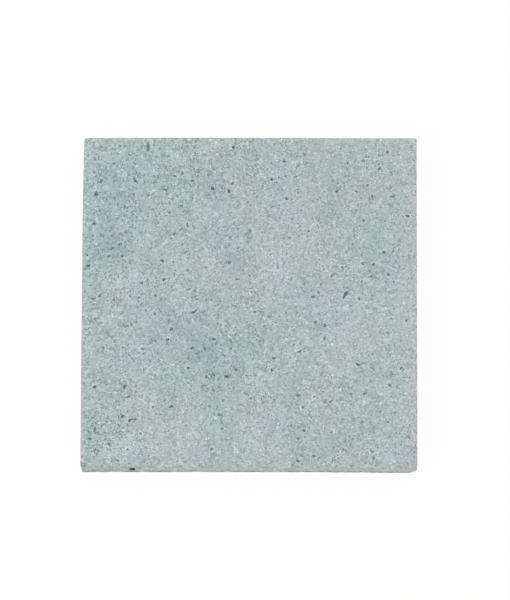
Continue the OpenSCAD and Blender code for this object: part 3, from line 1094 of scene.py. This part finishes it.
# %% Open seams between crystals
def seam_group():
    """A mask of broken hairlines: 1 in the seam, 0 outside. Width is a part of the grain size, and
    Share says how much of the net of borders is left."""
    tree, given = new_group("Open seams", {"Position": None, "Grain size": 2.4, "Width": 0.06,
                                           "Share": 0.3}, ("Mask",))
    stir = vector_node(tree, "SCALE", noise(tree, given["Position"], 0.9)["Color"], 2.0)
    moved = vector_node(tree, "ADD", given["Position"], stir)
    scale = math_node(tree, "DIVIDE", 1.0, given["Grain size"])
    border = place(tree, "ShaderNodeTexVoronoi", {"Vector": moved, "Scale": scale},
                   feature="DISTANCE_TO_EDGE").outputs["Distance"]
    seam = ramp(tree, border, given["Width"], scaled(tree, given["Width"], 0.4), "SMOOTHSTEP")
    edge = scaled(tree, given["Share"], -0.4, 0.72)
    kept = ramp(tree, noise(tree, moved, 0.55)["Fac"], edge, math_node(tree, "ADD", edge, 0.05),
                "SMOOTHSTEP")
    return give_out(tree, {"Mask": math_node(tree, "MULTIPLY", seam, kept)})


seams = seam_group()

# %% [markdown]
# ## The body of the stone
# One more group puts the minerals together and is what the three materials place. It takes what
# the mesh knows (the tone, the pore, the wear and the crowd of specks at each point) and gives a
# colour, a roughness, a height in millimetres for the bump, and a mask of the open pores. The dark
# grains are long and lean three ways, as crystals lie in lava. A pore's floor is dark with dirt, and
# the deepest pits and the large hole are painted nearly black as the shade inside them. Worn arrises
# take the duller grey of broken stone, darkened as painted shade of their small chips.

# %% The body of the stone
GROUNDMASS = (0.431, 0.508, 0.511, 1.0)
FELDSPAR = (0.780, 0.870, 0.865, 1.0)
DARK_MINERAL = (0.125, 0.190, 0.188, 1.0)
PORE_FLOOR = (0.105, 0.150, 0.150, 1.0)
PIT_SHADE = (0.032, 0.042, 0.041, 1.0)
# worn arrises: the duller grey of broken stone, also darker as painted shade of its small chips' shadows
BREAK_TINT_AND_CHIP_SHADE = (0.440, 0.464, 0.460, 1.0)
DARK_LEANS = ((0.35, (31.7, 12.3, 7.9)), (1.40, (5.3, 41.1, 23.7)), (-0.75, (17.9, 3.1, 51.3)))
DARK_STRETCH = (1.45, 0.82, 0.9)


def stone_group():
    """Crystals, feldspar, dark grains, pin-pricks and pores, one over the other."""
    tree, given = new_group("Stone body", {"Position": None, "Tone": WHITE, "Pore": 0.0, "Wear": 0.0,
                                           "Crowd": 1.0}, ("Color", "Roughness", "Height", "Open"))
    where = given["Position"]
    coarse = use_group(tree, crystals, {"Position": where, "Grain size": 1.15, "Stir": 0.45})["Tone"]
    fine = use_group(tree, crystals, {"Position": where, "Grain size": 0.55, "Stir": 0.45})["Tone"]
    patchy = scaled(tree, ramp(tree, noise(tree, where, 0.16, 2.0)["Fac"], 0.35, 0.65), 0.75, 0.55)
    swing = scaled(tree, fine, 0.30, scaled(tree, coarse, 0.40, -0.35))
    colour = vector_node(tree, "SCALE", GROUNDMASS[:3], scaled(tree, swing, patchy, 1.0))

    def crowded(share):
        """That share of the cells, times how patchy the stone is and how thick the specks lie."""
        return math_node(tree, "MULTIPLY", scaled(tree, patchy, share), given["Crowd"])

    def grain_mask(position, spacing, share, size):
        """Grains of one mineral."""
        return use_group(tree, grains, {"Position": position, "Spacing": spacing, "Share": share,
                                        "Size": size})["Mask"]

    white = grain_mask(where, spacing=1.25, share=0.34, size=0.30)
    sparkle = grain_mask(where, spacing=1.70, share=0.06, size=0.24)
    dark_share = crowded(0.084)
    dark = 0.0
    for lean, start in DARK_LEANS:
        leaning = place(tree, "ShaderNodeMapping", {
            "Vector": where, "Location": start, "Rotation": (0.0, 0.0, lean), "Scale": DARK_STRETCH},
            vector_type="TEXTURE").outputs[0]
        one_way = grain_mask(leaning, spacing=1.25, share=dark_share, size=0.30)
        dark = math_node(tree, "MAXIMUM", dark, one_way)
    pricks = grain_mask(where, spacing=0.90, share=crowded(0.050), size=0.27)
    hairline = use_group(tree, seams, {"Position": where, "Share": crowded(0.32)})["Mask"]
    minerals = ((white, 0.46, FELDSPAR), (sparkle, 0.75, FELDSPAR), (dark, 0.67, DARK_MINERAL),
                (pricks, 0.80, DARK_MINERAL), (hairline, 0.55, DARK_MINERAL))
    for mask, amount, mineral in minerals:
        colour = mixed(tree, scaled(tree, mask, amount), colour, mineral)

    colour = mixed(tree, 1.0, colour, given["Tone"], "MULTIPLY")
    inside = ramp(tree, given["Pore"], 0.03, 0.42)
    deepest = ramp(tree, given["Pore"], 0.50, 0.95)
    # worn arrises take the broken stone's grey, part of which is painted chip shade
    colour = mixed(tree, scaled(tree, given["Wear"], 0.52), colour, BREAK_TINT_AND_CHIP_SHADE)
    colour = mixed(tree, scaled(tree, math_node(tree, "POWER", inside, 1.25), 0.60), colour, PORE_FLOOR)
    # painted shade: the deepest pits and the large hole go nearly black, as the shadow inside them
    colour = mixed(tree, scaled(tree, deepest, 0.95), colour, PIT_SHADE)
    rough = scaled(tree, inside, 0.20, scaled(tree, fine, 0.16, 0.60))
    height = scaled(tree, dark, -0.060, scaled(tree, fine, 0.020, scaled(tree, coarse, 0.030)))
    return give_out(tree, {"Color": colour, "Roughness": rough, "Height": height, "Open": inside})


stone_body = stone_group()

# %% [markdown]
# ## Three finishes of one stone
# The honed face is smooth but not polished: it has a faint sheen at a low angle. The sides and the
# bed are as the saw left them: rougher, a little paler with stone dust, which lies everywhere but in
# the open pores, and with the blade's fine scratches. The scratches are noise that is drawn out along
# the cut. Coarser noise of the same kind makes the streaks of paler and darker stone that the blade's
# teeth leave.

# %% Saw scratches
def scratch_group():
    """Parallel scratches, as heights from 0 to 1. They follow each other in the one direction, Along,
    are drawn out in the other, Across, and lean a little. Pitch and Length are the size of one."""
    tree, given = new_group("Saw scratches", {"Along": 0.0, "Across": 0.0, "Pitch": 0.8,
                                              "Length": 33.0}, ("Height",))
    bent = scaled(tree, given["Across"], 0.25, given["Along"])
    drawn_out = place(tree, "ShaderNodeCombineXYZ", {
        "X": math_node(tree, "DIVIDE", bent, given["Pitch"]),
        "Y": math_node(tree, "DIVIDE", given["Across"], given["Length"])}).outputs[0]
    return give_out(tree, {"Height": noise(tree, drawn_out, 1.0, 3.0, 0.6)["Fac"]})


scratches = scratch_group()

# %% [markdown]
# The three materials differ only in a few numbers, so one function makes them all. Gloss is set on
# the shader's own sockets, because it is the same all over the stone.

# %% The three finishes
DUST = (0.575, 0.610, 0.603, 1.0)
STREAK_PITCH, STREAK_LENGTH = 1.6, 4.5


def distance_in(tree, position, direction):
    """How far a position lies in a direction: the sum of its parts times the direction's."""
    return place(tree, "ShaderNodeVectorMath", {0: position, 1: direction},
                 operation="DOT_PRODUCT").outputs["Value"]


def make_finish(name, bump, lift=0.0, dust=0.0, scratch=0.0, cut=(), smear=1.0, relief=1.0):
    """A material: the stone's body, dust, and scratches if it has a cut, which is the direction the
    scratches follow each other in and the one they are drawn out in. The saw smears the grain down
    the side, so Z is counted from the top and divided by the smear. Lift adds to the roughness, and
    relief makes the height of the grains stronger than on a honed face."""
    material = bpy.data.materials.new(name)
    material.use_nodes = True
    tree = material.node_tree
    tree.nodes.clear()
    here = tree.nodes.new("ShaderNodeTexCoord").outputs["Object"]
    scale = (1 / MM, 1 / MM, 1 / MM / smear)
    top = (0.0, 0.0, THICKNESS * (1 - 1 / smear))
    position = place(tree, "ShaderNodeVectorMath", {0: here, 1: scale, 2: top},
                     operation="MULTIPLY_ADD").outputs[0]
    known = {"Position": position}
    for socket, kind in (("Tone", "Color"), ("Pore", "Fac"), ("Wear", "Fac"), ("Crowd", "Fac")):
        known[socket] = place(tree, "ShaderNodeAttribute", attribute_name=socket.lower()).outputs[kind]
    stone = use_group(tree, stone_body, known)
    colour = stone["Color"]
    height = scaled(tree, stone["Height"], relief)
    if dust:
        colour = mixed(tree, scaled(tree, stone["Open"], -dust, dust), colour, DUST)
    if cut:
        along, across = (distance_in(tree, position, direction) for direction in cut)
        lines = use_group(tree, scratches, {"Along": along, "Across": across})["Height"]
        height = scaled(tree, lines, scratch, height)
        streaks = use_group(tree, scratches, {"Along": along, "Across": across, "Pitch": STREAK_PITCH,
                                              "Length": STREAK_LENGTH})["Height"]
        colour = vector_node(tree, "SCALE", colour, scaled(tree, streaks, 1.1, 0.465))
    bumps = place(tree, "ShaderNodeBump", {"Strength": bump, "Distance": MM, "Height": height})
    shader = place(tree, "ShaderNodeBsdfPrincipled", {
        "Base Color": colour, "Roughness": math_node(tree, "ADD", stone["Roughness"], lift),
        "Normal": bumps.outputs[0], "IOR": 1.45, "Specular IOR Level": 0.35})
    place(tree, "ShaderNodeOutputMaterial", {"Surface": shader.outputs[0]})
    return material


honed = make_finish("honed_stone", bump=0.8)
sawn = make_finish("sawn_stone", bump=0.9, lift=0.14, dust=0.27, scratch=0.10,
                   cut=((1, 1, 0), (0, 0, 1)), smear=1.2, relief=3.0)
bed = make_finish("bed_stone", bump=0.9, lift=0.16, dust=0.16, scratch=0.12,
                  cut=((1, 0, 0), (0, 1, 0)), relief=2.0)
for material in (honed, sawn, bed):
    slab.data.materials.append(material)
print("materials:", ", ".join(slab.data.materials.keys()))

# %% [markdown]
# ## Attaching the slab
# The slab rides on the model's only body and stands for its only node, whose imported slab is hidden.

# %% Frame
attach(slab, "root")
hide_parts("stone_tile")
